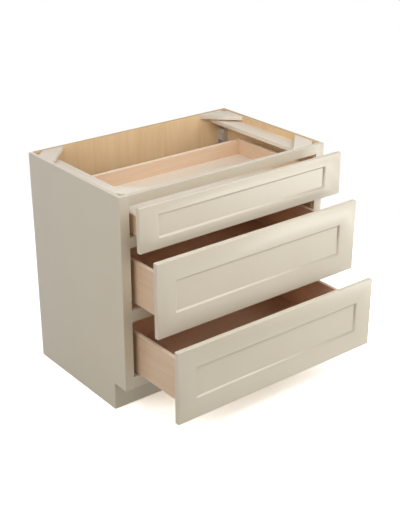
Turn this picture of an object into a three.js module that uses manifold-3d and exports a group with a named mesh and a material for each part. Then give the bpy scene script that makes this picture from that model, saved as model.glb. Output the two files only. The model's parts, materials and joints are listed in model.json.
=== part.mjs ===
// Base cabinet with a face frame and three drawers on full-extension undermount slides.
// Millimetres, +Z up. The origin is on the floor, in the middle of the cabinet's rear face; the
// cabinet stands in front of the wall, towards -Y, and each drawer pulls out along -Y.

import * as THREE from 'three';
import { mergeVertices } from 'three/addons/utils/BufferGeometryUtils.js';
import Module from 'manifold-3d';

const wasm = await Module();
wasm.setup();

// Cabinet
const cabinetWidth = 960;
const cabinetDepth = 609.6; // wall to the front of the face frame
const cabinetHeight = 876.3;
const sidePanelThickness = 15.9;
const backPanelThickness = 12.7;
const floorPanelThickness = 12.7;
const panelGroove = 6; // how deep the floor panel is let into the sides
const toeHeight = 114.3;
const toeDepth = 76.2;
const toeBoardThickness = 15.9;

// Face frame
const frameThickness = 19.05;
const stileWidth = 38.1;
const topRailHeight = 38.1;
const upperMidRailHeight = 38.1;
const lowerMidRailHeight = 46.4;
const lowerMidRailRise = 2.5; // its middle stands this far above the gap between the two fronts
const bottomRailHeight = 47.1;

// Bracing at the open top
const braceThickness = 19.05;
const braceLeg = 128; // along each wall, measured from the corner
const braceRearNotch = 36; // open corner triangle left in a rear brace
const braceFrontNotch = 30; // the same in a front brace
const stretcherWidth = 72.5;
const stretcherThickness = 15.9;
const stretcherDrop = 7.25; // below the braces

// Drawer fronts
const frontThickness = 19.05;
const frontSideReveal = 7.8;
const frontTopReveal = 9;
const frontBottomReveal = 9.3;
const frontGap = 3;
const topFrontHeight = 166.3; // the two lower fronts share what is left
const frontStileWidth = 79.4; // face width, up to the bevel
const topFrontRailWidth = 38.1;
const lowerFrontRailWidth = 79.4;
const bevelWidth = 7.7;
const recessDepth = 7.6;
const frontPanelThickness = 6.35;
const frontPanelTongue = 9; // how deep the panel is let into its frame

// Drawer boxes
const boxWall = 15.9;
const boxSideClearance = 22.9; // box side to the stile's edge
const boxBottomThickness = 6.35;
const boxBottomRecess = 7.7; // underside of the bottom above the lower edge of the sides
const boxGroove = 6; // how deep the bottom is let into the walls
const spaceBehindBox = 80.5; // closed box to the back panel
const topBoxHeadroom = 39.65; // box's upper edge to the rail above it
const middleBoxHeadroom = 58.6;
const bottomBoxHeadroom = 56.5;
const closedGap = 2; // bumper between a closed front and the face frame

// How far each drawer stands open, from the face frame to the back of its front
const topOpening = 84.3;
const middleOpening = 178.2;
const bottomOpening = 290.2;

// Undermount slides, in three profiles of folded steel
const steel = 1.2;
const bearingGap = 0.3; // running gap between the profiles
const runnerDrop = 3.3; // box's lower edge to the cabinet runner's flange
const topRunnerClearance = 1; // middle runner above the rail it passes over
const middleRunnerClearance = 15.2;
const floorClearance = 0.2; // lowest cabinet runner above the floor panel
const drawerRunnerWidth = 31;
const drawerRunnerLip = 4.2;
const drawerRunnerSetback = 2; // behind the box's front wall
const drawerRunnerSideGap = 1.1; // to the inside of the box's side
const middleRunnerWidth = 20;
const middleRunnerLength = 490;
const middleRunnerSetback = 5; // behind the face frame, with the drawer closed
const cabinetRunnerLip = 4.8;
const cabinetRunnerLipGap = 1.5; // lip to the middle runner
const cabinetRunnerWeb = 26.5; // height of its upright web
const frontTabHeight = 44.5;
const bracketWidth = 25.3;
const bracketDepth = 33.3;
const bracketTop = 77.6; // above the box's lower edge
const bracketCheekBottom = 25.6; // the bracket's inner cheek starts this far above it
const runnerNotchGap = 1.6; // notch in the box's back wall, past the drawer runner

// Planes that the pieces share
const halfWidth = cabinetWidth / 2;
const sideInner = halfWidth - sidePanelThickness;
const openingHalf = halfWidth - stileWidth;
const frameFront = -cabinetDepth;
const frameRear = frameFront + frameThickness;
const backInner = -backPanelThickness;
const toeFace = frameFront + toeDepth;
const floorTop = toeHeight + bottomRailHeight;
const floorUnderside = floorTop - floorPanelThickness;
const topRailBottom = cabinetHeight - topRailHeight;

const topFrontTop = cabinetHeight - frontTopReveal;
const topFrontBottom = topFrontTop - topFrontHeight;
const middleFrontTop = topFrontBottom - frontGap;
const bottomFrontBottom = toeHeight + frontBottomReveal;
const lowerFrontHeight = (middleFrontTop - frontGap - bottomFrontBottom) / 2;
const middleFrontBottom = middleFrontTop - lowerFrontHeight;
const bottomFrontTop = middleFrontBottom - frontGap;
const frontHalf = halfWidth - frontSideReveal;

// The middle rails stand behind the gaps between the fronts.
const upperMidRailBottom = (topFrontBottom + middleFrontTop - upperMidRailHeight) / 2;
const upperMidRailTop = upperMidRailBottom + upperMidRailHeight;
const lowerMidRailBottom = (middleFrontBottom + bottomFrontTop - lowerMidRailHeight) / 2 + lowerMidRailRise;
const lowerMidRailTop = lowerMidRailBottom + lowerMidRailHeight;

const boxHalf = openingHalf - boxSideClearance;
const boxInner = boxHalf - boxWall;
const boxLength = cabinetDepth + closedGap - backPanelThickness - spaceBehindBox;
const boxBottomTop = boxBottomRecess + boxBottomThickness;

const drawerRunnerOuter = boxInner - drawerRunnerSideGap;
const drawerRunnerInner = drawerRunnerOuter - drawerRunnerWidth;
const middleRunnerInner = drawerRunnerInner + (drawerRunnerWidth - middleRunnerWidth) / 2;
const middleRunnerOuter = middleRunnerInner + middleRunnerWidth;
const middleRunnerBottom = bearingGap - runnerDrop;
const middleRunnerTop = boxBottomRecess - steel - bearingGap;
const cabinetRunnerInner = middleRunnerInner - cabinetRunnerLipGap - steel;
const cabinetRunnerBottom = -runnerDrop - steel;

const drawers = [
  {
    level: 'top',
    front: [topFrontBottom, topFrontTop],
    boxBottom: upperMidRailTop - middleRunnerBottom + topRunnerClearance,
    boxTop: topRailBottom - topBoxHeadroom,
    frontRail: topFrontRailWidth,
    opening: topOpening,
  },
  {
    level: 'middle',
    front: [middleFrontBottom, middleFrontTop],
    boxBottom: lowerMidRailTop - middleRunnerBottom + middleRunnerClearance,
    boxTop: upperMidRailBottom - middleBoxHeadroom,
    frontRail: lowerFrontRailWidth,
    opening: middleOpening,
  },
  {
    level: 'bottom',
    front: [bottomFrontBottom, bottomFrontTop],
    boxBottom: floorTop - cabinetRunnerBottom + floorClearance,
    boxTop: lowerMidRailBottom - bottomBoxHeadroom,
    frontRail: lowerFrontRailWidth,
    opening: bottomOpening,
  },
];

const sides = [['left', -1], ['right', 1]];

// Finishes, each piece with its own material.
const paintedFinish = { color: '#d8d0bf', roughness: 0.45, metalness: 0 };
const plyFinish = { color: '#c9a57a', roughness: 0.6, metalness: 0 };
const birchFinish = { color: '#d6b392', roughness: 0.55, metalness: 0 };
const paleWoodFinish = { color: '#e2d3bd', roughness: 0.6, metalness: 0 };
const zincFinish = { color: '#8d9094', roughness: 0.4, metalness: 0.9 };

function addPiece(group, name, geometry, finish) {
  const piece = new THREE.Mesh(geometry, new THREE.MeshStandardMaterial(finish));
  piece.name = name;
  group.add(piece);
}

// A span [inner, outer] from the middle plane, on the left (-1) or on the right (1).
function spanOn(side, inner, outer) {
  return side < 0 ? [-outer, -inner] : [inner, outer];
}

// A hexahedron between two rectangles in X and Z, one at the front and one at the rear.
function wedge([frontX, frontZ], [rearX, rearZ], [frontY, rearY]) {
  const geometry = new THREE.BoxGeometry(1, 1, 1);
  const corner = geometry.attributes.position;
  for (let i = 0; i < corner.count; i += 1) {
    const atFront = corner.getY(i) < 0;
    const [x0, x1] = atFront ? frontX : rearX;
    const [z0, z1] = atFront ? frontZ : rearZ;
    const x = corner.getX(i) < 0 ? x0 : x1;
    const z = corner.getZ(i) < 0 ? z0 : z1;
    corner.setXYZ(i, x, atFront ? frontY : rearY, z);
  }
  geometry.computeVertexNormals();
  return geometry;
}

// A board between two planes on each axis.
function board(spanX, spanY, spanZ) {
  return wedge([spanX, spanZ], [spanX, spanZ], spanY);
}

function toSolid(geometry) {
  const bare = geometry.clone();
  bare.deleteAttribute('normal');
  bare.deleteAttribute('uv');
  const merged = mergeVertices(bare);
  return new wasm.Manifold(new wasm.Mesh({
    numProp: 3,
    vertProperties: merged.attributes.position.array,
    triVerts: new Uint32Array(merged.index.array),
  }));
}

function fromSolid(solid) {
  const { vertProperties, triVerts } = solid.getMesh();
  const geometry = new THREE.BufferGeometry();
  geometry.setAttribute('position', new THREE.BufferAttribute(vertProperties, 3));
  geometry.setIndex(new THREE.BufferAttribute(triVerts, 1));
  geometry.computeVertexNormals();
  return geometry;
}

function cut(body, ...tools) {
  return fromSolid(tools.reduce((solid, tool) => solid.subtract(toSolid(tool)), toSolid(body)));
}

function join(first, ...others) {
  return fromSolid(others.reduce((solid, other) => solid.add(toSolid(other)), toSolid(first)));
}

// A side panel with its toe notch and the groove that holds the floor panel.
function sidePanel(side) {
  const spanX = spanOn(side, sideInner, halfWidth);
  const panel = board(spanX, [frameRear, 0], [0, cabinetHeight]);
  const notch = board(spanX, [frameRear, toeFace], [0, toeHeight]);
  const grooveX = spanOn(side, sideInner, sideInner + panelGroove);
  const groove = board(grooveX, [frameRear, backInner], [floorUnderside, floorTop]);
  return cut(panel, notch, groove);
}

// A corner brace: a mitred block across the corner of a side and the wall at cornerY.
function cornerBrace(side, cornerY, inward, notch) {
  const at = (alongWall, alongSide) => new THREE.Vector2(
    side * (sideInner - alongWall),
    cornerY + inward * alongSide,
  );
  const outline = new THREE.Shape([at(notch, 0), at(braceLeg, 0), at(0, braceLeg), at(0, notch)]);
  const brace = new THREE.ExtrudeGeometry(outline, { depth: braceThickness, bevelEnabled: false });
  return brace.translate(0, 0, cabinetHeight - braceThickness);
}

function addCarcass(cabinet) {
  const betweenSides = [-sideInner, sideInner];
  const floorSpan = [-sideInner - panelGroove, sideInner + panelGroove];
  for (const [sideName, side] of sides) {
    addPiece(cabinet, `side_panel_${sideName}`, sidePanel(side), paintedFinish);
  }
  const back = board(betweenSides, [backInner, 0], [0, cabinetHeight]);
  addPiece(cabinet, 'back_panel', back, plyFinish);
  const floor = board(floorSpan, [frameRear, backInner], [floorUnderside, floorTop]);
  addPiece(cabinet, 'floor_panel', floor, plyFinish);
  const toeBoard = board(betweenSides, [toeFace, toeFace + toeBoardThickness], [0, floorUnderside]);
  addPiece(cabinet, 'toe_kick_board', toeBoard, paintedFinish);
}

function addFaceFrame(cabinet) {
  const spanY = [frameFront, frameRear];
  const betweenStiles = [-openingHalf, openingHalf];
  const rails = {
    top_rail: [topRailBottom, cabinetHeight],
    upper_mid_rail: [upperMidRailBottom, upperMidRailTop],
    lower_mid_rail: [lowerMidRailBottom, lowerMidRailTop],
    bottom_rail: [toeHeight, floorTop],
  };
  for (const [sideName, side] of sides) {
    const stile = board(spanOn(side, openingHalf, halfWidth), spanY, [toeHeight, cabinetHeight]);
    addPiece(cabinet, `stile_${sideName}`, stile, paintedFinish);
  }
  for (const [name, spanZ] of Object.entries(rails)) {
    addPiece(cabinet, name, board(betweenStiles, spanY, spanZ), paintedFinish);
  }
}

function addTopBracing(cabinet) {
  const stretcherTop = cabinetHeight - braceThickness - stretcherDrop;
  const stretcherZ = [stretcherTop - stretcherThickness, stretcherTop];
  for (const [sideName, side] of sides) {
    const rearBrace = cornerBrace(side, backInner, -1, braceRearNotch);
    addPiece(cabinet, `corner_brace_rear_${sideName}`, rearBrace, paleWoodFinish);
    const frontBrace = cornerBrace(side, frameRear, 1, braceFrontNotch);
    addPiece(cabinet, `corner_brace_front_${sideName}`, frontBrace, paleWoodFinish);
    const stretcherX = spanOn(side, sideInner - stretcherWidth, sideInner);
    const stretcher = board(stretcherX, [frameRear, backInner], stretcherZ);
    addPiece(cabinet, `stretcher_${sideName}`, stretcher, paleWoodFinish);
  }
}

// The fixed profile: a flange with an inner lip and an outer web, a tab on the stile and a bracket
// on the back panel. Heights are above the box's lower edge, which is at boxBottom.
function cabinetRunner(side, boxBottom) {
  const bracketInner = sideInner - bracketWidth;
  const bracketFront = backInner - bracketDepth;
  const length = [frameRear, bracketFront + steel];
  const fold = (inner, outer, spanY, low, high) => board(
    spanOn(side, inner, outer),
    spanY,
    [boxBottom + low, boxBottom + high],
  );
  const bottom = cabinetRunnerBottom;
  const flange = fold(cabinetRunnerInner, openingHalf + steel, length, bottom, -runnerDrop);
  const lip = fold(cabinetRunnerInner, cabinetRunnerInner + steel, length, bottom, bottom + steel + cabinetRunnerLip);
  const web = fold(openingHalf, openingHalf + steel, length, bottom, bottom + cabinetRunnerWeb);
  const tab = fold(openingHalf, sideInner, [frameRear, frameRear + steel], bottom, bottom + frontTabHeight);
  const bracket = (spanY, low, high) => fold(bracketInner, sideInner, spanY, low, high);
  const foot = bracket([bracketFront, backInner], bottom, -runnerDrop);
  const frontPlate = bracket([bracketFront, bracketFront + steel], bottom, bracketTop);
  const rearPlate = bracket([backInner - steel, backInner], bottom, bracketTop);
  const cheekY = [bracketFront, backInner];
  const cheek = fold(bracketInner, bracketInner + steel, cheekY, bracketCheekBottom, bracketTop);
  return join(flange, lip, web, tab, foot, frontPlate, rearPlate, cheek);
}

// The middle profile: an upright web between two flanges.
function middleRunner(side) {
  const spanY = [0, middleRunnerLength];
  const webInner = (middleRunnerInner + middleRunnerOuter - steel) / 2;
  const flangeX = spanOn(side, middleRunnerInner, middleRunnerOuter);
  return join(
    board(flangeX, spanY, [middleRunnerBottom, middleRunnerBottom + steel]),
    board(spanOn(side, webInner, webInner + steel), spanY, [middleRunnerBottom, middleRunnerTop]),
    board(flangeX, spanY, [middleRunnerTop - steel, middleRunnerTop]),
  );
}

// The drawer's profile: a shallow channel, open downwards, under the box's bottom.
function drawerRunner(side) {
  const spanY = [boxWall + drawerRunnerSetback, boxLength];
  const lipZ = [boxBottomRecess - steel - drawerRunnerLip, boxBottomRecess];
  return join(
    board(spanOn(side, drawerRunnerInner, drawerRunnerOuter), spanY, [boxBottomRecess - steel, boxBottomRecess]),
    board(spanOn(side, drawerRunnerInner, drawerRunnerInner + steel), spanY, lipZ),
    board(spanOn(side, drawerRunnerOuter - steel, drawerRunnerOuter), spanY, lipZ),
  );
}

// The frame of a drawer front: bevelled round its opening and grooved for the panel.
function frontFrame([low, high], railWidth, panel) {
  const opening = (inset) => [
    [-frontHalf + frontStileWidth + inset, frontHalf - frontStileWidth - inset],
    [low + railWidth + inset, high - railWidth - inset],
  ];
  const overshoot = 1; // the bevel's cutter starts this far in front of the face
  const flare = -overshoot * bevelWidth / recessDepth;
  const bevelY = [-frontThickness - overshoot, -frontThickness + recessDepth];
  const bevel = wedge(opening(flare), opening(bevelWidth), bevelY);
  const [throughX, throughZ] = opening(bevelWidth);
  const through = board(throughX, [-frontThickness - overshoot, overshoot], throughZ);
  return cut(board([-frontHalf, frontHalf], [-frontThickness, 0], [low, high]), bevel, through, panel);
}

function frontPanel([low, high], railWidth) {
  const inset = bevelWidth - frontPanelTongue;
  const half = frontHalf - frontStileWidth - inset;
  const face = -frontThickness + recessDepth;
  const spanZ = [low + railWidth + inset, high - railWidth - inset];
  return board([-half, half], [face, face + frontPanelThickness], spanZ);
}

// A drawer's own frame has y = 0 on the back of its front and z = 0 on the box's lower edge.
function addDrawer(cabinet, { level, front, boxBottom, boxTop, frontRail, opening }) {
  const drawer = new THREE.Group();
  drawer.position.set(0, frameFront - opening, boxBottom);
  cabinet.add(drawer);

  const frontZ = front.map((height) => height - boxBottom);
  const panel = frontPanel(frontZ, frontRail);
  addPiece(drawer, `${level}_front_frame`, frontFrame(frontZ, frontRail, panel), paintedFinish);
  addPiece(drawer, `${level}_front_panel`, panel, paintedFinish);

  const boxZ = [0, boxTop - boxBottom];
  const bottomZ = [boxBottomRecess, boxBottomTop];
  const betweenWalls = [-boxInner, boxInner];
  const groovedX = [-boxInner - boxGroove, boxInner + boxGroove];
  const rearInner = boxLength - boxWall;
  const bottom = board(groovedX, [boxWall - boxGroove, rearInner + boxGroove], bottomZ);
  const notches = sides.map(([, side]) => board(
    spanOn(side, drawerRunnerInner - runnerNotchGap, boxInner),
    [rearInner, boxLength],
    [0, boxBottomRecess],
  ));
  const boxFront = cut(board(betweenWalls, [0, boxWall], boxZ), bottom);
  addPiece(drawer, `${level}_box_front`, boxFront, birchFinish);
  const boxBack = cut(board(betweenWalls, [rearInner, boxLength], boxZ), bottom, ...notches);
  addPiece(drawer, `${level}_box_back`, boxBack, birchFinish);
  addPiece(drawer, `${level}_box_bottom`, bottom, birchFinish);
  for (const [sideName, side] of sides) {
    const groove = board(spanOn(side, boxInner, boxInner + boxGroove), [0, boxLength], bottomZ);
    const wall = cut(board(spanOn(side, boxInner, boxHalf), [0, boxLength], boxZ), groove);
    addPiece(drawer, `${level}_box_side_${sideName}`, wall, birchFinish);
    addPiece(drawer, `${level}_drawer_runner_${sideName}`, drawerRunner(side), zincFinish);
  }
}

// The middle runners travel half as far as the drawer.
function addSlides(cabinet, { level, boxBottom, opening }) {
  const travelled = (opening - closedGap) / 2;
  const middle = new THREE.Group();
  middle.position.set(0, frameRear + middleRunnerSetback - travelled, boxBottom);
  cabinet.add(middle);
  for (const [sideName, side] of sides) {
    const fixed = cabinetRunner(side, boxBottom);
    addPiece(cabinet, `${level}_cabinet_runner_${sideName}`, fixed, zincFinish);
    addPiece(middle, `${level}_middle_runner_${sideName}`, middleRunner(side), zincFinish);
  }
}

const cabinet = new THREE.Group();
addCarcass(cabinet);
addFaceFrame(cabinet);
addTopBracing(cabinet);
for (const drawer of drawers) {
  addDrawer(cabinet, drawer);
  addSlides(cabinet, drawer);
}

export default cabinet;
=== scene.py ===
# %% [markdown]
# A kitchen base cabinet with three drawers, open at the top because the worktop comes later.
# The construction is already fixed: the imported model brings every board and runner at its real
# size. This script gives those pieces their finish: eased edges, grain, paint, folded steel, and
# the small hardware that is too fine for the construction model.

# %% Load the construction model
import json
import math
import random

import bmesh
import bpy
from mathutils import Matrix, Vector

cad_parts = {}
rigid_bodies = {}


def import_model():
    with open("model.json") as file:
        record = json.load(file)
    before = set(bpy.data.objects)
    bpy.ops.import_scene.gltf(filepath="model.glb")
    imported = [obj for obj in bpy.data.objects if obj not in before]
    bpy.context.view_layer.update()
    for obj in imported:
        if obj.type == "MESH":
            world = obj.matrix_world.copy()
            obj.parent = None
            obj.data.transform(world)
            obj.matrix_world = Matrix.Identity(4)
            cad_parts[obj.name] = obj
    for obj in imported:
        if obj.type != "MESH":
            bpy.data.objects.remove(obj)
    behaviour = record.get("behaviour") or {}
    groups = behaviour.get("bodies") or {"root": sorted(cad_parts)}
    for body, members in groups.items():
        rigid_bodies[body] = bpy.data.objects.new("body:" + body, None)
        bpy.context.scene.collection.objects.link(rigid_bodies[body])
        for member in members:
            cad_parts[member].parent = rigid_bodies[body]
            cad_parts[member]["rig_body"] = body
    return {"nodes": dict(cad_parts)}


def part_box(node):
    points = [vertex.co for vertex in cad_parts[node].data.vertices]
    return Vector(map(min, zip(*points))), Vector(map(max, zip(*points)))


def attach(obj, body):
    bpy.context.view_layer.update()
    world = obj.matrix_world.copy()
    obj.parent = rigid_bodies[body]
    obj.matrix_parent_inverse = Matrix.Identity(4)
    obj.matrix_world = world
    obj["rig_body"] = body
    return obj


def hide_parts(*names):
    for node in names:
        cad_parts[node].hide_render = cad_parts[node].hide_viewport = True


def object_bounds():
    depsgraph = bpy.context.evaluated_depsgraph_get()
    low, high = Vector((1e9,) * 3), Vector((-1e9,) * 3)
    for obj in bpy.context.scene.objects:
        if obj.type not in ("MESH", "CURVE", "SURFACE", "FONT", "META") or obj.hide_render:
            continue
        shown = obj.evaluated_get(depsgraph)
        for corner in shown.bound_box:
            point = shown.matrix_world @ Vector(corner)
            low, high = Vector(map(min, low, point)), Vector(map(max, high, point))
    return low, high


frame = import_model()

MM = 0.001
TOUCHING = 1e-5  # metres within which two places count as the same
X, Y, Z = 0, 1, 2
LEVELS = ("top", "middle", "bottom")
SIDES = {"left": -1, "right": 1}
cad_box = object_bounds()
cad_size = [round(v, 4) for v in cad_box[1] - cad_box[0]]
print("construction model:", len(frame["nodes"]), "nodes,", cad_size)

# %% [markdown]
# The photograph was taken from the left and from well above the cabinet. A camera is a place, two
# angles and a focal length. The focal length is kept in pixels of the photograph, so the lens in
# millimetres follows from the long side of the picture, which Blender maps onto the sensor width.

# %% Camera
PHOTO_WIDTH, PHOTO_HEIGHT = 400, 532
FOCAL_PIXELS = 1036.9
CENTRE_PIXEL = (201.3, 266.1)  # where the lens axis meets the picture
CAMERA_PLACE = (-2.2853, -3.3433, 2.1436)
CAMERA_PITCH, CAMERA_HEADING = 65.044, -38.288  # degrees, from straight down and about the vertical
SENSOR_MM = 36
FARTHEST = 100  # metres, well past the end of the floor that shows

camera_data = bpy.data.cameras.new("photo_camera")
camera = bpy.data.objects.new("photo_camera", camera_data)
bpy.context.scene.collection.objects.link(camera)
camera.location = CAMERA_PLACE
camera.rotation_euler = (math.radians(CAMERA_PITCH), 0, math.radians(CAMERA_HEADING))
camera_data.sensor_width = SENSOR_MM
camera_data.lens = SENSOR_MM * FOCAL_PIXELS / PHOTO_HEIGHT
camera_data.shift_x = (PHOTO_WIDTH / 2 - CENTRE_PIXEL[0]) / PHOTO_HEIGHT
camera_data.shift_y = (CENTRE_PIXEL[1] - PHOTO_HEIGHT / 2) / PHOTO_HEIGHT
camera_data.clip_end = FARTHEST
bpy.context.scene.camera = camera
print("lens:", round(camera_data.lens, 2), "mm")

# %% [markdown]
# Every material and every Geometry Nodes tree below is wired by the same helper. It makes one
# node, sets its options, and fills each input with a number or a link. Colours are written as the
# hex values a paint chart gives, and one function turns them into the linear values of a shader.

# %% Helpers for nodes and colours
def linear(hex_colour):
    """The linear values of an sRGB colour, which is how a shader reads them."""
    channels = [int(hex_colour[i : i + 2], 16) / 255 for i in (1, 3, 5)]
    return [c / 12.92 if c <= 0.04045 else ((c + 0.055) / 1.055) ** 2.4 for c in channels] + [1.0]


def add_node(tree, kind, settings=None, inputs=None):
    """One node with its settings, and a link or a value for each input."""
    node = tree.nodes.new(kind)
    for name, value in (settings or {}).items():
        setattr(node, name, value)
    for key, value in (inputs or {}).items():
        if isinstance(value, bpy.types.NodeSocket):
            tree.links.new(value, node.inputs[key])
        else:
            node.inputs[key].default_value = value
    return node


def new_material(name):
    """An empty material and its tree."""
    material = bpy.data.materials.new(name)
    material.use_nodes = True
    material.node_tree.nodes.clear()
    return material, material.node_tree


def per_metre(size_mm):
    """The scale at which a texture's pattern is about this large."""
    return 1000 / size_mm


print("a paint chart's middle grey, #808080, gives back", round(linear("#808080")[0], 3), "of the light")

# %% [markdown]
# The outside is maple sprayed with a catalysed satin paint. Sprayed paint is never quite even: its
# tone drifts over a hand's breadth, and its skin has a fine orange peel that breaks the highlight.
# Both come from noise on Object coordinates, so they run on from board to board as spray does.

# %% Catalysed paint
PAINT_LIGHT, PAINT_DARK = "#E0D6C4", "#DAD0BC"
PAINT_DRIFT_MM = 160
SATIN = (0.28, 0.36)  # roughness, where the film lies thick and where it is thin
ORANGE_PEEL_MM = 2.5  # real peel is finer, about 1 mm; this is the finest that shows
PEEL_DEPTH = 0.04 * MM
JOINT_LINE_MM, PAINT_IN_JOINT = 0.25, "#CBC1AD"


def catalysed_paint(name, joint=None):
    """Sprayed paint. joint is how far from the middle a glued joint telegraphs through it."""
    material, tree = new_material(name)
    place = add_node(tree, "ShaderNodeTexCoord").outputs["Object"]
    drift = add_node(tree, "ShaderNodeTexNoise", None, {
        "Vector": place, "Scale": per_metre(PAINT_DRIFT_MM), "Detail": 2.0})
    tone = add_node(tree, "ShaderNodeMix", {"data_type": "RGBA"}, {
        0: drift.outputs[0], 6: linear(PAINT_DARK), 7: linear(PAINT_LIGHT)}).outputs[2]
    if joint:
        across = add_node(tree, "ShaderNodeSeparateXYZ", None, {0: place}).outputs[0]
        across = add_node(tree, "ShaderNodeMath", {"operation": "ABSOLUTE"}, {0: across}).outputs[0]
        line = add_node(tree, "ShaderNodeMath", {"operation": "COMPARE"}, {
            0: across, 1: joint, 2: JOINT_LINE_MM / 2 * MM}).outputs[0]
        tone = add_node(tree, "ShaderNodeMix", {"data_type": "RGBA"}, {
            0: line, 6: tone, 7: linear(PAINT_IN_JOINT)}).outputs[2]
    peel = add_node(tree, "ShaderNodeTexNoise", None, {
        "Vector": place, "Scale": per_metre(ORANGE_PEEL_MM), "Detail": 1.0})
    sheen = add_node(tree, "ShaderNodeMapRange", None, {
        "Value": drift.outputs[0], "To Min": SATIN[0], "To Max": SATIN[1]})
    relief = add_node(tree, "ShaderNodeBump", None, {
        "Height": peel.outputs[0], "Strength": 0.25, "Distance": PEEL_DEPTH})
    shader = add_node(tree, "ShaderNodeBsdfPrincipled", None, {
        "Base Color": tone, "Roughness": sheen.outputs[0], "Normal": relief.outputs[0],
        "IOR": 1.5, "Specular IOR Level": 0.5})
    add_node(tree, "ShaderNodeOutputMaterial", None, {"Surface": shader.outputs[0]})
    return material


FRONT_STILE = 79.4 * MM  # width of the uprights of a drawer front
cream_paint = catalysed_paint("catalysed_paint_on_maple")
joint_from_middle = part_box("top_front_frame")[1].x - FRONT_STILE
cream_front = catalysed_paint("catalysed_paint_on_joined_front", joint_from_middle)
print("made", cream_paint.name, cream_front.name)

# %% [markdown]
# Wood is drawn from its own UV map, with U along the grain and V across it, in metres. Each board
# gets its own stretch of that map, as boards come from different planks. Two noises do the work:
# a broad one, pulled out along the grain, for the growth rings, and a fine one for the fibres,
# which also gives the relief under the clear coat.

# %% Clear-coated woods
FIBRE_MM = (60, 0.9)  # length and width of a bundle of fibres
FIBRE_CONTRAST = 0.35  # how far a dark fibre reaches its own colour
FIBRE_DEPTH = 0.05 * MM
COAT_ROUGHNESS = 0.3  # a thin satin lacquer, sanded between coats


def clear_coated_wood(name, light, dark, fibre_dark, figure_mm, roughness, coat=0.0):
    """Sawn or peeled wood. figure_mm is the length and width of its broad growth bands."""
    material, tree = new_material(name)
    board = add_node(tree, "ShaderNodeUVMap", {"uv_map": "grain"}).outputs[0]
    noises = []
    for (length, width), detail, distortion in ((figure_mm, 3.0, 0.8), (FIBRE_MM, 2.0, 0.0)):
        pulled = add_node(tree, "ShaderNodeMapping", None, {
            "Vector": board, "Scale": (per_metre(length), per_metre(width), 1)}).outputs[0]
        noises.append(add_node(tree, "ShaderNodeTexNoise", None, {
            "Vector": pulled, "Scale": 1.0, "Detail": detail, "Distortion": distortion}).outputs[0])
    figure, fibres = noises
    spread = add_node(tree, "ShaderNodeMapRange", None, {
        "Value": figure, "From Min": 0.3, "From Max": 0.7})
    ground = add_node(tree, "ShaderNodeMix", {"data_type": "RGBA"}, {
        0: spread.outputs[0], 6: linear(dark), 7: linear(light)})
    streaks = add_node(tree, "ShaderNodeMapRange", None, {
        "Value": fibres, "From Min": 0.62, "From Max": 0.42, "To Max": FIBRE_CONTRAST})
    colour = add_node(tree, "ShaderNodeMix", {"data_type": "RGBA"}, {
        0: streaks.outputs[0], 6: ground.outputs[2], 7: linear(fibre_dark)})
    relief = add_node(tree, "ShaderNodeBump", None, {
        "Height": fibres, "Strength": 0.2, "Distance": FIBRE_DEPTH})
    shader = add_node(tree, "ShaderNodeBsdfPrincipled", None, {
        "Base Color": colour.outputs[2], "Roughness": roughness, "Normal": relief.outputs[0],
        "IOR": 1.5, "Specular IOR Level": 0.35,
        "Coat Weight": coat, "Coat Roughness": COAT_ROUGHNESS})
    add_node(tree, "ShaderNodeOutputMaterial", None, {"Surface": shader.outputs[0]})
    return material


# Maple plywood is peeled from the log, so its bands are broad. A clear coat turned it honey yellow.
cabinet_ply = clear_coated_wood(
    "maple_plywood_face", "#F6D8AD", "#EDCA98", "#E4C08D", (420, 34), 0.5, coat=0.3)
# Birch boards are planed and lacquered: even, pinkish, with narrow bands and a soft shine.
drawer_birch = clear_coated_wood(
    "birch_drawer_wall", "#EDD0B1", "#E5C5A8", "#D9B898", (300, 16), 0.45, coat=0.5)
# Birch plywood for the bottoms is sapwood, the palest wood here, with broad peeled bands again.
drawer_floor = clear_coated_wood(
    "birch_plywood_bottom", "#F8EEE0", "#F2E6D4", "#E9DAC5", (380, 26), 0.45, coat=0.5)
# Faces on the rounded top edges that look up take this birch painted paler, a painted highlight for the
# light from above.
birch_painted_highlight = clear_coated_wood(
    "birch_top_painted_highlight", "#FBE8D2", "#F5DEC6", "#EACFB2", (300, 16), 0.4, coat=0.4)
# Deep in a box light passes from wall to wall and reddens each time, more often than a renderer
# follows it. The insides of the two deep drawers are the same birch, written one step redder.
shaded_birch = clear_coated_wood(
    "birch_inside_deep_drawer", "#F3CFB3", "#ECC5AA", "#E0B698", (300, 16), 0.45, coat=0.5)
# The braces are poplar straight from the planer: pale, matt and without any coat.
pale_poplar = clear_coated_wood(
    "planed_poplar", "#F6ECDE", "#F0E4D3", "#E7DAC6", (240, 12), 0.6)
woods = (cabinet_ply, drawer_birch, drawer_floor, birch_painted_highlight, shaded_birch, pale_poplar)
print("made", ", ".join(wood.name for wood in woods))

# %% [markdown]
# A sawn plywood edge shows its veneers: alternate layers run lengthways and crossways, so every
# other one is end grain and looks darker. On these faces V measures the board's thickness, and a
# sine of V draws one light and one dark band for each pair of veneers.

# %% Plywood edges
VENEER_MM = 2.1
SPECK_MM = 1.5  # pores and saw marks are finer; this is the finest that shows


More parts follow.
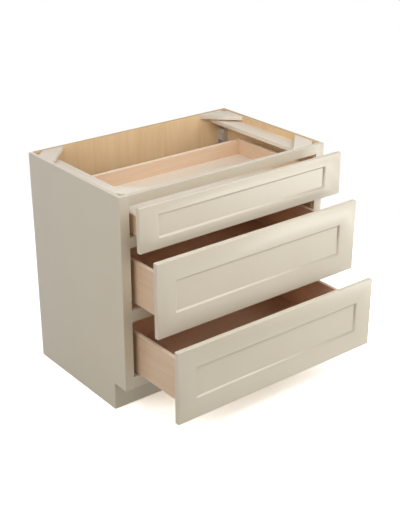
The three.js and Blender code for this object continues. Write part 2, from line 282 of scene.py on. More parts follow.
def plywood_edge(name, light, dark):
    """Bands of veneer. The saw leaves the light ones, cut along their grain, speckled."""
    material, tree = new_material(name)
    board = add_node(tree, "ShaderNodeUVMap", {"uv_map": "grain"}).outputs[0]
    through = add_node(tree, "ShaderNodeSeparateXYZ", None, {0: board}).outputs[1]
    turns = add_node(tree, "ShaderNodeMath", {"operation": "MULTIPLY"}, {
        0: through, 1: per_metre(VENEER_MM) * math.pi})
    wave = add_node(tree, "ShaderNodeMath", {"operation": "SINE"}, {0: turns.outputs[0]})
    bands = add_node(tree, "ShaderNodeMapRange", None, {
        "Value": wave.outputs[0], "From Min": -0.6, "From Max": 0.6})
    specks = add_node(tree, "ShaderNodeTexNoise", None, {
        "Vector": board, "Scale": per_metre(SPECK_MM), "Detail": 2.0})
    speckle = add_node(tree, "ShaderNodeMath", {"operation": "MULTIPLY"}, {
        0: bands.outputs[0], 1: specks.outputs[0]})
    colour = add_node(tree, "ShaderNodeMix", {"data_type": "RGBA"}, {
        0: speckle.outputs[0], 6: linear(dark), 7: linear(light)})
    shader = add_node(tree, "ShaderNodeBsdfPrincipled", None, {
        "Base Color": colour.outputs[2], "Roughness": 0.7, "Specular IOR Level": 0.3})
    add_node(tree, "ShaderNodeOutputMaterial", None, {"Surface": shader.outputs[0]})
    return material


ply_edge = plywood_edge("maple_plywood_edge", "#E6CDA6", "#CDAE84")
bottom_edge = plywood_edge("birch_plywood_edge", "#E6D2B6", "#CFB292")
print("made", ply_edge.name, bottom_edge.name)

# %% [markdown]
# The slides are rolled from zinc-plated strip. Plating gives a cool grey with faint crystals a few
# millimetres wide, and the rolling leaves fine lines along the length. A metal takes its look from
# what it mirrors, so the crystals and lines only change its roughness and, slightly, its tone. The
# clear passivation over the zinc scatters a little light of its own, so it isn't quite all metal.

# %% Zinc-plated steel and plastics
CRYSTAL_MM = 5
ZINC_DARK, ZINC_LIGHT = "#CBD0DA", "#DEE2E9"
ROLLING_LINE_MM = (0.6, 90, 0.6)
GRIT_MM, GRIT_DEPTH = 0.8, 0.03 * MM  # spark-eroded moulds leave this on every plastic part


def zinc_plated_steel(name):
    """Crystals give its tone, and rolling lines its roughness."""
    material, tree = new_material(name)
    place = add_node(tree, "ShaderNodeTexCoord").outputs["Object"]
    crystals = add_node(tree, "ShaderNodeTexVoronoi", None, {
        "Vector": place, "Scale": per_metre(CRYSTAL_MM)})
    grey = add_node(tree, "ShaderNodeSeparateColor", None, {0: crystals.outputs["Color"]})
    tone = add_node(tree, "ShaderNodeMix", {"data_type": "RGBA"}, {
        0: grey.outputs[0], 6: linear(ZINC_DARK), 7: linear(ZINC_LIGHT)})
    drawn = add_node(tree, "ShaderNodeMapping", None, {
        "Vector": place, "Scale": [per_metre(size) for size in ROLLING_LINE_MM]})
    lines = add_node(tree, "ShaderNodeTexNoise", None, {
        "Vector": drawn.outputs[0], "Scale": 1.0, "Detail": 2.0})
    rough = add_node(tree, "ShaderNodeMapRange", None, {
        "Value": lines.outputs[0], "To Min": 0.4, "To Max": 0.55})
    shader = add_node(tree, "ShaderNodeBsdfPrincipled", None, {
        "Base Color": tone.outputs[2], "Metallic": 0.8, "Roughness": rough.outputs[0]})
    add_node(tree, "ShaderNodeOutputMaterial", None, {"Surface": shader.outputs[0]})
    return material


def moulded_plastic(name, colour, roughness):
    """One even colour under the fine grit of its mould."""
    material, tree = new_material(name)
    place = add_node(tree, "ShaderNodeTexCoord").outputs["Object"]
    grit = add_node(tree, "ShaderNodeTexNoise", None, {
        "Vector": place, "Scale": per_metre(GRIT_MM), "Detail": 2.0})
    relief = add_node(tree, "ShaderNodeBump", None, {
        "Height": grit.outputs[0], "Strength": 0.2, "Distance": GRIT_DEPTH})
    shader = add_node(tree, "ShaderNodeBsdfPrincipled", None, {
        "Base Color": linear(colour), "Roughness": roughness, "Normal": relief.outputs[0]})
    add_node(tree, "ShaderNodeOutputMaterial", None, {"Surface": shader.outputs[0]})
    return material


zinc = zinc_plated_steel("zinc_plated_steel")
# Glass-filled nylon for clips and dampers looks dull, acetal for rollers is slick and white, and the
# bumpers are soft polyurethane, glossy and nearly colourless.
grey_nylon = moulded_plastic("grey_nylon", "#6E7276", 0.45)
white_acetal = moulded_plastic("white_acetal", "#E4E3DE", 0.35)
clear_urethane = moulded_plastic("clear_polyurethane", "#D9DBDA", 0.15)
print("made", zinc.name, grey_nylon.name, white_acetal.name, clear_urethane.name)

# %% [markdown]
# No real board has knife edges: sandpaper takes them off, and that thin round catches the light.
# A construction node is loose triangles, so a copy of it is merged back into whole faces first.
# Then each outer edge gets a weight, and one Bevel modifier rounds them all by their weights.
# Where two boards were glued and sanded flush, the edge stays almost sharp, so no line shows.

# %% Whole faces and eased edges
FLAT_ANGLE = math.radians(1)  # faces that meet at less than this are one face
OUTER_ANGLE = math.radians(20)  # an edge that turns outwards by more than this is eased
FLUSH_EASE = 0.12  # mm, on edges that were sanded flush with the next board


def main_axis(vector):
    """The axis that a vector follows most nearly."""
    return max((X, Y, Z), key=lambda i: abs(vector[i]))


def solid_of(node):
    """A copy of a construction node's mesh, merged back into whole faces."""
    solid = bmesh.new()
    solid.from_mesh(frame["nodes"][node].data)
    bmesh.ops.remove_doubles(solid, verts=solid.verts, dist=TOUCHING)
    bmesh.ops.dissolve_limit(solid, angle_limit=FLAT_ANGLE, verts=solid.verts, edges=solid.edges)
    for layer in list(solid.loops.layers.uv.values()):
        solid.loops.layers.uv.remove(layer)
    return solid


def weigh_edges(solid, ease_of):
    """Bevel weights from ease_of(edge), in mm, for every outer edge. Returns the widest."""
    layer = solid.edges.layers.float.new("bevel_weight_edge")
    outer = [edge for edge in solid.edges if edge.calc_face_angle_signed(0) > OUTER_ANGLE]
    eases = {edge: ease_of(edge) for edge in outer}
    widest = max(eases.values())
    for edge, ease in eases.items():
        edge[layer] = ease / widest
    return widest


def eased(ease, top_ease=None, along=X, flush=(), top=None):
    """ease_of in mm for a board. Top edges along one axis can get more, flush joints almost none."""
    def ease_of(edge):
        a, b = (vert.co for vert in edge.verts)
        for axis, place in flush:
            in_plane = abs(a[axis] - b[axis]) < TOUCHING
            if in_plane and any(abs(abs(end[axis]) - place) < TOUCHING for end in (a, b)):
                return FLUSH_EASE
        at_top = top_ease and min(a.z, b.z) > top - TOUCHING and main_axis(b - a) == along
        return top_ease if at_top else ease

    return ease_of


triangles, merged = frame["nodes"]["side_panel_left"].data.polygons, solid_of("side_panel_left")
print("left side:", len(triangles), "triangles, merged into", len(merged.faces), "faces")
merged.free()

# %% [markdown]
# Grain runs one way through a board, so its faces and its edges share one set of lines. The UVs are
# therefore laid by the board's own directions, and each face takes its material by where it looks.
# A finished piece then rides on a moving body, and takes the place of its construction node.

# %% Grain and finished pieces
UV_SPREAD = 9  # metres over which the boards' stretches of the grain map are strewn
EASE_SEGMENTS = 3


def lay_grain(solid, grain, thickness, seed):
    """UV in metres: U along the grain and V across it, or V through the thickness on an edge."""
    plank = random.Random(seed)
    shift = Vector((plank.uniform(0, UV_SPREAD), plank.uniform(0, UV_SPREAD)))
    base = min(vert.co[thickness] for vert in solid.verts)
    layer = solid.loops.layers.uv.new("grain")
    for face in solid.faces:
        facing = main_axis(face.normal)
        if facing == thickness:
            along, across = grain, X + Y + Z - grain - thickness
        else:
            along, across = X + Y + Z - facing - thickness, thickness
        for loop in face.loops:
            place = loop.vert.co
            v = place[across] + shift.y if facing == thickness else place[across] - base
            loop[layer].uv = (place[along] + shift.x, v)


def add_piece(name, solid, body, slot, materials, ease_of, choose=None, grain=X, thickness=Z):
    """A finished piece from a bmesh. choose(face) gives the index of a face's material."""
    lay_grain(solid, grain, thickness, name)
    width = weigh_edges(solid, ease_of)
    for face in solid.faces:
        face.smooth = True
        face.material_index = choose(face) if choose else 0
    mesh = bpy.data.meshes.new(name)
    solid.to_mesh(mesh)
    solid.free()
    for material in materials:
        mesh.materials.append(material)
    piece = bpy.data.objects.new(name, mesh)
    bpy.context.scene.collection.objects.link(piece)
    rounded = piece.modifiers.new("eased_edges", "BEVEL")
    rounded.limit_method = "WEIGHT"
    rounded.width = width * MM
    rounded.segments = EASE_SEGMENTS
    rounded.harden_normals = True
    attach(piece, body)
    return piece


def finish_node(node, slot, materials, ease_of, name_ending="_board", **options):
    """A finished piece that stands for one construction node."""
    body = frame["nodes"][node]["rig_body"]
    piece = add_piece(node + name_ending, solid_of(node), body, slot, materials, ease_of, **options)
    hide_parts(node)


# %% [markdown]
# The two sides are plywood, painted outside and clear-coated inside, with the toe notch cut out of
# the lower front corner. The left one has a painted top edge. The right one was left bare there,
# so its veneers show. Each face takes its finish by where it looks.

# %% Side panels
FRAME_REAR = -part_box("top_rail")[1].y  # the plane where the face frame is glued to the sides
OPENING_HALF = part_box("top_rail")[1].x  # the plane where rails meet stiles
PAINTED, BARE_FACE, BARE_EDGE = 0, 1, 2


def side_panel_finish(side, top_finish):
    """Index in [painted, bare face, bare edge], by where a face looks."""
    def choose(face):
        facing, normal = main_axis(face.normal), face.normal
        if facing == X:
            return PAINTED if normal.x * side > 0 else BARE_FACE
        if facing == Z and normal.z > 0:
            return top_finish
        return PAINTED if facing == Y and normal.y < 0 else BARE_EDGE

    return choose


for name, side in SIDES.items():
    finish_node(f"side_panel_{name}", "cream_paint", [cream_paint, cabinet_ply, ply_edge],
                eased(0.8, flush=((Y, FRAME_REAR),)), grain=Z, thickness=X,
                choose=side_panel_finish(side, PAINTED if name == "left" else BARE_EDGE))
print("side panels done")

# %% [markdown]
# Back and floor are plywood sheets with a clear coat, and show their veneers on the edges. The toe
# board closes the recess under the drawers and is painted.

# %% Back, floor and toe board
def faces_and_edges(thickness):
    """Index in [broad face, edge] for a sheet."""
    return lambda face: 0 if main_axis(face.normal) == thickness else 1


finish_node("back_panel", "cabinet_plywood", [cabinet_ply, ply_edge], eased(0.5),
            choose=faces_and_edges(Y), grain=Z, thickness=Y)
finish_node("floor_panel", "cabinet_plywood", [cabinet_ply, ply_edge], eased(0.3),
            choose=faces_and_edges(Z), grain=X, thickness=Z)
finish_node("toe_kick_board", "cream_paint", [cream_paint], eased(0.5), grain=X, thickness=Y)
print("sheets done")

# %% [markdown]
# The face frame is solid maple, glued up, sanded flush and painted. Only the edges that stay free
# are eased. The ends of the rails and the back of the stiles are joints, so they stay sharp.

# %% Face frame
for name in SIDES:
    finish_node(f"stile_{name}", "cream_paint", [cream_paint], grain=Z, thickness=Y,
                ease_of=eased(1.0, flush=((Y, FRAME_REAR), (X, OPENING_HALF))))
for rail in ("top_rail", "upper_mid_rail", "lower_mid_rail", "bottom_rail"):
    finish_node(rail, "cream_paint", [cream_paint], eased(0.6, flush=((X, OPENING_HALF),)),
                grain=X, thickness=Y)
print("face frame done")

# %% [markdown]
# Four mitred blocks square up the open top, and a strip runs along each side below them. They are
# bare planed wood, glued and stapled, so nothing but the wood shows.

# %% Corner braces and stretchers
for name in SIDES:
    for end in ("rear", "front"):
        finish_node(f"corner_brace_{end}_{name}", "bracing_wood", [pale_poplar], eased(1.0), "_block",
                    grain=X)
    finish_node(f"stretcher_{name}", "bracing_wood", [pale_poplar], eased(0.8), "_strip", grain=Y)
print("bracing done")

# %% [markdown]
# A drawer front is a frame of two uprights and two rails round a thin panel. Its outer arris is
# rounded well over, which gives the bright line along the top of each front. The slope down to the
# panel keeps a crisper edge. The panel is flat, so its construction node stays and takes the paint.

# %% Drawer fronts
FRONT_EASE, SLOPE_EASE = 2.4, 1.0  # mm


def front_ease(low, high):
    """ease_of in mm for a front's frame that spans from low to high."""
    def ease_of(edge):
        gaps = [min(abs(vert.co[axis] - corner[axis]) for axis in (X, Z) for corner in (low, high))
                for vert in edge.verts]
        return FRONT_EASE if max(gaps) < TOUCHING else SLOPE_EASE

    return ease_of


for level in LEVELS:
    node = f"{level}_front_frame"
    finish_node(node, "cream_paint", [cream_front], front_ease(*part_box(node)), grain=X, thickness=Y)
    panel = frame["nodes"][f"{level}_front_panel"].data
    panel.materials.clear()
    panel.materials.append(cream_paint)
print("drawer fronts done")

# %% [markdown]
# The boxes are clear-coated birch. Their long top edges are rounded over further than the rest, so
# a hand slides over them, and the faces there that look up are painted paler, a painted highlight.
# The bottom is birch plywood, paler too.

# %% Drawer boxes
TOP_ROUND = 3.0  # mm
WALLS = {"front": (X, (0, 1, 0)), "back": (X, (0, -1, 0)), "side_left": (Y, (1, 0, 0)),
         "side_right": (Y, (-1, 0, 0))}  # grain, and the way its inside face looks
SQUARELY = 0.9  # how nearly a face has to look one way to count as looking that way


def wall_finish(inward):
    """Index in [outside, inside, top] for a wall whose inside face looks inward."""
    def choose(face):
        # faces that look up take the paler birch, a painted highlight
        if face.normal.z > SQUARELY:
            return 2
        return 1 if face.normal.dot(Vector(inward)) > SQUARELY else 0

    return choose


def bottom_finish(face):
    """Index in [upper face, edge, underside]."""
    if main_axis(face.normal) != Z:
        return 1
    return 0 if face.normal.z > 0 else 2


for level in LEVELS:
    deep = level != "top"
    inside, upper_face = (shaded_birch, shaded_birch) if deep else (drawer_birch, drawer_floor)
    for wall, (grain, inward) in WALLS.items():
        node = f"{level}_box_{wall}"
        # The third material is the painted highlight on the walls' upward faces.
        finish_node(node, "drawer_birch", [drawer_birch, inside, birch_painted_highlight], grain=grain,
                    thickness=X + Y - grain, choose=wall_finish(inward),
                    ease_of=eased(0.6, TOP_ROUND, grain, top=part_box(node)[1].z))
    finish_node(f"{level}_box_bottom", "drawer_birch", [upper_face, bottom_edge, drawer_floor],
                eased(0.3), choose=bottom_finish, grain=X, thickness=Z)
print("drawer boxes done")

# %% [markdown]
# The rest is hardware, and much of it repeats. Geometry Nodes suit that: one tree says how a thing
# is shaped and placed, and its named inputs set the sizes. The result is then kept as a plain
# mesh, because an exported model holds no modifiers and no instances.

# %% Helpers for Geometry Nodes
CREASE = math.radians(35)  # two faces that meet at more than this keep a hard edge between them
CUT_EXACTLY = {"operation": "DIFFERENCE", "solver": "EXACT"}


def new_geometry_tree(name, inputs):
    """A tree for a modifier, and the outputs of its input node."""
    tree = bpy.data.node_groups.new(name, "GeometryNodeTree")
    tree.is_modifier = True
    tree.interface.new_socket("Geometry", in_out="INPUT", socket_type="NodeSocketGeometry")
    for label, kind in inputs.items():
        tree.interface.new_socket(label, in_out="INPUT", socket_type="NodeSocket" + kind)
    tree.interface.new_socket("Geometry", in_out="OUTPUT", socket_type="NodeSocketGeometry")
    return tree, add_node(tree, "NodeGroupInput").outputs


def finish_tree(tree, geometry, material):
    """The end of every tree: real geometry instead of instances, and its material."""
    real = add_node(tree, "GeometryNodeRealizeInstances", None, {"Geometry": geometry}).outputs[0]
    painted = add_node(tree, "GeometryNodeSetMaterial", None, {
        "Geometry": real, "Material": material}).outputs[0]
    add_node(tree, "NodeGroupOutput", None, {"Geometry": painted})
    return tree


def grow(tree, holder, values):
    """Run a tree on an object, and leave the result in it as a plain mesh."""
    modifier = holder.modifiers.new(tree.name, "NODES")
    modifier.node_group = tree
    sockets = {item.name: item.identifier for item in tree.interface.items_tree
               if item.in_out == "INPUT"}
    for label, value in values.items():
        modifier[sockets[label]] = value
    evaluated = holder.evaluated_get(bpy.context.evaluated_depsgraph_get())
    mesh = bpy.data.meshes.new_from_object(evaluated)
    holder.modifiers.clear()
    outward = bmesh.new()
    outward.from_mesh(mesh)
    bmesh.ops.recalc_face_normals(outward, faces=outward.faces)
    outward.to_mesh(mesh)
    outward.free()
    for polygon in mesh.polygons:
        polygon.use_smooth = True
    mesh.set_sharp_from_angle(angle=CREASE)
    mesh.name = holder.name
    holder.data = mesh
    return len(mesh.polygons)


# %% [markdown]
# A screw head, a soft bumper and a roller are all turned shapes: a circle carried up an axis while
# it shrinks. One tree makes them all, at every point that it is given. The recess of a screw is cut
# by two crossed bars, and each fitting stops at a random turn, as a driver leaves it.

# %% A tree for turned fittings
RINGS, CORNERS = 8, 20  # circles up the axis, and corners in each
TIP = 0.97  # how far up its round the last circle is, which keeps the cap from closing to a point
BAR_LENGTH, BAR_WIDTH = 1.1, 0.24  # of a bar that cuts a screw's recess, in radii of its head


def turned_fitting_tree():
    """Sets a turned shape, with or without a cross recess, on each point that it is given."""
    tree, given = new_geometry_tree("turned_fitting", {
        "Radius": "Float", "Height": "Float", "Roundness": "Float", "Cross recess": "Bool",
        "Seed": "Int", "Material": "Material"})

    top = add_node(tree, "ShaderNodeCombineXYZ", None, {2: given["Height"]}).outputs[0]
    axis = add_node(tree, "GeometryNodeCurvePrimitiveLine", None, {"End": top}).outputs[0]
    axis = add_node(tree, "GeometryNodeResampleCurve", None, {"Curve": axis, "Count": RINGS}).outputs[0]
    climbed = add_node(tree, "GeometryNodeSplineParameter").outputs["Factor"]
    climbed = add_node(tree, "ShaderNodeMath", {"operation": "MULTIPLY"}, {
        0: climbed, 1: TIP}).outputs[0]
    fallen = add_node(tree, "ShaderNodeMath", {"operation": "POWER"}, {
        0: climbed, 1: given["Roundness"]}).outputs[0]
    shrink = add_node(tree, "ShaderNodeMath", {"operation": "SUBTRACT"}, {
        0: 1.0, 1: fallen}).outputs[0]
    shrink = add_node(tree, "ShaderNodeMath", {"operation": "SQRT"}, {0: shrink}).outputs[0]
    circle = add_node(tree, "GeometryNodeCurvePrimitiveCircle", None, {
        "Resolution": CORNERS, "Radius": given["Radius"]}).outputs[0]
    head = add_node(tree, "GeometryNodeCurveToMesh", None, {
        "Curve": axis, "Profile Curve": circle, "Scale": shrink, "Fill Caps": True}).outputs[0]

    long, narrow = (add_node(tree, "ShaderNodeMath", {"operation": "MULTIPLY"}, {
        0: given["Radius"], 1: share}).outputs[0] for share in (BAR_LENGTH, BAR_WIDTH))
    crossed = head
    for x_size, y_size in ((long, narrow), (narrow, long)):
        size = add_node(tree, "ShaderNodeCombineXYZ", None, {
            0: x_size, 1: y_size, 2: given["Height"]}).outputs[0]
        bar = add_node(tree, "GeometryNodeMeshCube", None, {"Size": size}).outputs[0]
        bar = add_node(tree, "GeometryNodeTransform", None, {
            "Geometry": bar, "Translation": top}).outputs[0]
        crossed = add_node(tree, "GeometryNodeMeshBoolean", CUT_EXACTLY, {
            "Mesh 1": crossed, "Mesh 2": bar}).outputs[0]
    fitting = add_node(tree, "GeometryNodeSwitch", {"input_type": "GEOMETRY"}, {
        "Switch": given["Cross recess"], "False": head, "True": crossed}).outputs[0]

    facing = add_node(tree, "GeometryNodeInputNamedAttribute", {"data_type": "FLOAT_VECTOR"}, {
        "Name": "facing"}).outputs[0]
    upright = add_node(tree, "FunctionNodeAlignRotationToVector", {"axis": "Z"}, {
        "Vector": facing}).outputs[0]
    turn = add_node(tree, "FunctionNodeRandomValue", {"data_type": "FLOAT"}, {
        3: math.tau, "Seed": given["Seed"]}).outputs[1]
    spin = add_node(tree, "ShaderNodeCombineXYZ", None, {2: turn}).outputs[0]
    spin = add_node(tree, "FunctionNodeEulerToRotation", None, {0: spin}).outputs[0]
    turned = add_node(tree, "FunctionNodeRotateRotation", {"rotation_space": "LOCAL"}, {
        "Rotation": upright, "Rotate By": spin}).outputs[0]
    placed = add_node(tree, "GeometryNodeInstanceOnPoints", None, {
        "Points": given["Geometry"], "Instance": fitting, "Rotation": turned}).outputs[0]
    return finish_tree(tree, placed, given["Material"])


turned_fitting = turned_fitting_tree()
print("turned_fitting tree:", len(turned_fitting.nodes), "nodes")

# %% [markdown]
# The tree needs points to work on. They come as a mesh of bare vertices, one for each fitting, and
# an attribute tells each the direction in which its fitting faces. All the fittings of one kind on
# one moving body become one mesh, so they travel with it.

# %% Fittings on a body
TURN_SEED = 7  # fixed, so that each screw stops at the same turn every time


def add_fittings(name, body, slot, places, material, radius_mm, height_mm, roundness, crossed=False):
    """Turned fittings on one body. places is a list of (point, direction)."""
    cloud = bpy.data.meshes.new(name)
    cloud.from_pydata([point for point, _ in places], [], [])
    facing = cloud.attributes.new("facing", "FLOAT_VECTOR", "POINT")
    for i, (_, direction) in enumerate(places):
        facing.data[i].vector = direction
    holder = bpy.data.objects.new(name, cloud)
    bpy.context.scene.collection.objects.link(holder)
    faces = grow(turned_fitting, holder, {
        "Radius": radius_mm * MM, "Height": height_mm * MM, "Roundness": roundness,
        "Cross recess": crossed, "Seed": TURN_SEED, "Material": material})
    holder.data.attributes.remove(holder.data.attributes["facing"])
    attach(holder, body)
    print(name, len(places), "fittings,", faces, "faces")


# %% [markdown]
# Each slide is fixed by two screws through its front tab into the stile, and two through the rear
# bracket into the back. Each drawer front is held by four screws from inside the box. Four soft
# bumpers behind it all but fill the 2 mm between a closed front and the face frame.

# %% Screws and bumpers
STEEL = 1.2 * MM
RUNNER_BELOW_BOX = 4.5 * MM  # underside of a cabinet runner below the box's foot
FORWARD, BACKWARD, UPWARD = (0, -1, 0), (0, 1, 0), (0, 0, 1)
SLIDE_SCREW = dict(material=zinc, radius_mm=3.6, height_mm=2.2, roundness=2.6, crossed=True)
FRONT_SCREW = dict(SLIDE_SCREW, radius_mm=5.0, height_mm=2.6)
BUMPER = dict(material=clear_urethane, radius_mm=4.5, height_mm=1.8, roundness=2.2)
TAB_SCREW_X, BRACKET_SCREW_X = OPENING_HALF + 12 * MM, OPENING_HALF + 9.5 * MM
TAB_SCREWS_UP, BRACKET_SCREWS_UP = (13 * MM, 31 * MM), (42 * MM, 66 * MM)  # above the box's foot
FRONT_SCREWS_X = (-0.33, -0.12, 0.12, 0.33)
STAGGER = 0.22  # of the box's height, by which its front screws stand above and below the middle
BUMPER_X, BUMPER_INSET = 0.461, 13 * MM

slide_screws = []
for level in LEVELS:
    for name, side in SIDES.items():
        low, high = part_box(f"{level}_cabinet_runner_{name}")
        foot = low.z + RUNNER_BELOW_BOX
        for up in TAB_SCREWS_UP:
            slide_screws.append(((side * TAB_SCREW_X, low.y + STEEL, foot + up), BACKWARD))
        for up in BRACKET_SCREWS_UP:
            slide_screws.append(((side * BRACKET_SCREW_X, high.y - STEEL, foot + up), FORWARD))
add_fittings("slide_screws", "cabinet", "zinc_steel", slide_screws, **SLIDE_SCREW)

for level in LEVELS:
    low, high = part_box(f"{level}_box_front")
    middle = (low.z + high.z) / 2
    rise = 0 if level == "top" else (high.z - low.z) * STAGGER
    screws = [((x, high.y, middle + (rise if i % 2 else -rise)), BACKWARD)
              for i, x in enumerate(FRONT_SCREWS_X)]
    add_fittings(f"{level}_front_screws", f"{level}_drawer", "zinc_steel", screws, **FRONT_SCREW)
    low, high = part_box(f"{level}_front_frame")
    bumpers = [((x, high.y, z), BACKWARD) for x in (-BUMPER_X, BUMPER_X)
               for z in (low.z + BUMPER_INSET, high.z - BUMPER_INSET)]
    add_fittings(f"{level}_front_bumpers", f"{level}_drawer", None, bumpers, **BUMPER)

# %% [markdown]
# A slide is three folded profiles. The outer one has slots for screws along its flange. A second
# tree cuts them: it places slot-shaped plugs in a row and takes them out of the steel.

# %% Slots in the cabinet runners
PLUG_REACH = 3 * MM  # each way from the middle of the steel, well through it
SLOT_CORNER_STEPS = 6
ALMOST_HALF = 0.499  # of the width: a full half would close the straight end to nothing
SLOT_INSET, FIRST_SLOT_BACK = 20 * MM, 35 * MM  # inside the opening's edge, and behind the tab


def slot_row_tree():
    """Cuts a row of slots with round ends into the geometry that it is given."""
    tree, given = new_geometry_tree("slot_row", {
        "First": "Vector", "Step": "Vector", "Count": "Int", "Length": "Float", "Width": "Float",
        "Material": "Material"})
    places = add_node(tree, "GeometryNodeMeshLine", None, {
        "Count": given["Count"], "Start Location": given["First"], "Offset": given["Step"]}).outputs[0]
    outline = add_node(tree, "GeometryNodeCurvePrimitiveQuadrilateral", None, {
        "Width": given["Width"], "Height": given["Length"]}).outputs[0]
    corner = add_node(tree, "ShaderNodeMath", {"operation": "MULTIPLY"}, {
        0: given["Width"], 1: ALMOST_HALF}).outputs[0]
    outline = add_node(tree, "GeometryNodeFilletCurve", {"mode": "POLY"}, {
        "Curve": outline, "Count": SLOT_CORNER_STEPS, "Radius": corner,
        "Limit Radius": True}).outputs[0]
    depth = add_node(tree, "GeometryNodeCurvePrimitiveLine", None, {
        "Start": (0, 0, -PLUG_REACH), "End": (0, 0, PLUG_REACH)}).outputs[0]
    plug = add_node(tree, "GeometryNodeCurveToMesh", None, {
        "Curve": depth, "Profile Curve": outline, "Fill Caps": True}).outputs[0]
    plugs = add_node(tree, "GeometryNodeInstanceOnPoints", None, {
        "Points": places, "Instance": plug}).outputs[0]
    plugs = add_node(tree, "GeometryNodeRealizeInstances", None, {"Geometry": plugs}).outputs[0]
    steel = add_node(tree, "GeometryNodeMeshBoolean", CUT_EXACTLY, {
        "Mesh 1": given["Geometry"], "Mesh 2": plugs}).outputs[0]
    return finish_tree(tree, steel, given["Material"])


slot_row = slot_row_tree()
SLOTS = {"Count": 7, "Length": 16 * MM, "Width": 5 * MM, "Step": (0, 72 * MM, 0), "Material": zinc}


def steel_copy(node):
    """A copy of one profile in zinc, not yet tied to its body."""
    solid = solid_of(node)
    mesh = bpy.data.meshes.new(node + "_steel")
    solid.to_mesh(mesh)
    solid.free()
    mesh.materials.append(zinc)
    piece = bpy.data.objects.new(node + "_steel", mesh)
    bpy.context.scene.collection.objects.link(piece)
    return piece


def hand_over_steel(piece, node):
    """Tie a finished profile to its body, in place of its construction node."""
    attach(piece, frame["nodes"][node]["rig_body"])
    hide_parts(node)


for level in LEVELS:
    for name, side in SIDES.items():
        node = f"{level}_cabinet_runner_{name}"
        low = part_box(node)[0]
        piece = steel_copy(node)
        first = (side * (OPENING_HALF - SLOT_INSET), low.y + FIRST_SLOT_BACK, low.z + STEEL / 2)
        faces = grow(slot_row, piece, {"First": first, **SLOTS})
        hand_over_steel(piece, node)
        print(piece.name, faces, "faces")

# %% [markdown]
# The middle profile runs on small acetal rollers, and the inner one is screwed under the box. Both
# profiles keep their construction nodes, which have the right shape, and only take the zinc.

# %% Middle and inner profiles, and their rollers
ROLLER = dict(material=white_acetal, radius_mm=1.7, height_mm=3.2, roundness=14.0)
ROLLER_BELOW_TOP = 3.5 * MM  # its foot, below the top of the middle profile
ROLLER_BESIDE = 2.15 * MM  # its axis, outside the profile's flank
ROLLERS, FIRST_ROLLER, ROLLER_STEP = 5, 20, 28  # how many on each flank, and mm along it

for level in LEVELS:
    for name, side in SIDES.items():
        for node in (f"{level}_middle_runner_{name}", f"{level}_drawer_runner_{name}"):
            part = frame["nodes"][node].data
            part.materials.clear()
            part.materials.append(zinc)
        low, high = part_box(f"{level}_middle_runner_{name}")
        foot = high.z - ROLLER_BELOW_TOP
        rollers = [((x, low.y + (FIRST_ROLLER + ROLLER_STEP * i) * MM, foot), UPWARD)
                   for x in (low.x - ROLLER_BESIDE, high.x + ROLLER_BESIDE) for i in range(ROLLERS)]
        body = f"{level}_middle_runner_{name}"
        add_fittings(f"{level}_rollers_{name}", body, None, rollers, **ROLLER)
print("profiles and rollers done")

# %% [markdown]
# At the back of each slide a damper slows the drawer over its last few centimetres: a long smooth
# barrel with a thin steel rod. Both are turned shapes again, with almost square shoulders.

# %% Dampers
BARREL = dict(material=grey_nylon, radius_mm=4.5, height_mm=95, roundness=30.0)
ROD = dict(material=zinc, radius_mm=1.4, height_mm=55, roundness=30.0)
DAMPER_X = 0.430  # from the middle of the cabinet
BRACKET_DEPTH, DAMPER_GAP = 33.3 * MM, 16 * MM  # of the rear bracket, and the room ahead of it

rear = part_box("back_panel")[0].y - BRACKET_DEPTH - DAMPER_GAP  # where the barrels end
barrels, rods = [], []
for level in LEVELS:
    for name, side in SIDES.items():
        axis_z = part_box(f"{level}_cabinet_runner_{name}")[0].z + STEEL + BARREL["radius_mm"] * MM
        barrels.append(((side * DAMPER_X, rear, axis_z), FORWARD))
        rods.append(((side * DAMPER_X, rear - BARREL["height_mm"] * MM, axis_z), FORWARD))
add_fittings("damper_barrels", "cabinet", None, barrels, **BARREL)
add_fittings("damper_rods", "cabinet", "zinc_steel", rods, **ROD)

# %% [markdown]
# At the front a plastic clip locks the box to each slide. Its handle reaches forward under the box's
# front wall, and has ribs for the fingers that squeeze it. All of that shows in its outline from the
# side, ribs as a zigzag, so the outline carried across its width gives the whole clip.

# %% Locking clips
CLIP_X = (0.318, 0.366)  # its two flanks, from the middle of the cabinet
# The clip's outline, in mm behind and above the box's lower front edge, from the ribs' rear end on.
CLIP_BODY = ((60, -2.4), (60, 3.0), (50, 7.0), (17.2, 7.0), (17.2, -0.5), (3, -0.5))
ZIGZAG_POINTS, ZIGZAG_STEP, RIB_DEPTH = 13, 1, 0.6  # the ribs' corners, and mm along and up


def carried_across(outline, low_x, high_x):
    """A closed solid from an outline of (y, z) points, carried from one x to another."""
    solid = bmesh.new()
    near, far = ([solid.verts.new((x, y, z)) for y, z in outline] for x in (low_x, high_x))
    solid.faces.new(near)
    solid.faces.new(far)
    for i, j in zip(range(len(outline)), [*range(1, len(outline)), 0]):
        solid.faces.new((near[i], near[j], far[j], far[i]))
    bmesh.ops.recalc_face_normals(solid, faces=solid.faces)
    return solid


def locking_clip(level, name, side):
    """A clip under the lower front edge of one drawer box."""
    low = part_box(f"{level}_box_front")[0]
    underside, front = CLIP_BODY[0][1], CLIP_BODY[-1][0]
    grip = [(front + ZIGZAG_STEP * i, underside + RIB_DEPTH * (i % 2)) for i in range(ZIGZAG_POINTS)]
    outline = [(low.y + y * MM, low.z + z * MM) for y, z in (*grip, *CLIP_BODY)]
    clip = carried_across(outline, *sorted(side * x for x in CLIP_X))
    add_piece(f"{level}_locking_clip_{name}", clip, f"{level}_drawer", None, [grey_nylon],
              eased(0.25), grain=Y, thickness=X)


for level in LEVELS:
    for name, side in SIDES.items():
        locking_clip(level, name, side)
print("clips done")

# %% [markdown]
# The studio starts with the world. It is white to the camera and in reflections, but lights the
# object only softly. A Light Path node tells the two apart, by what each ray of light is for.

# %% World
AMBIENT = 0.26  # strength of the white dome as a lamp


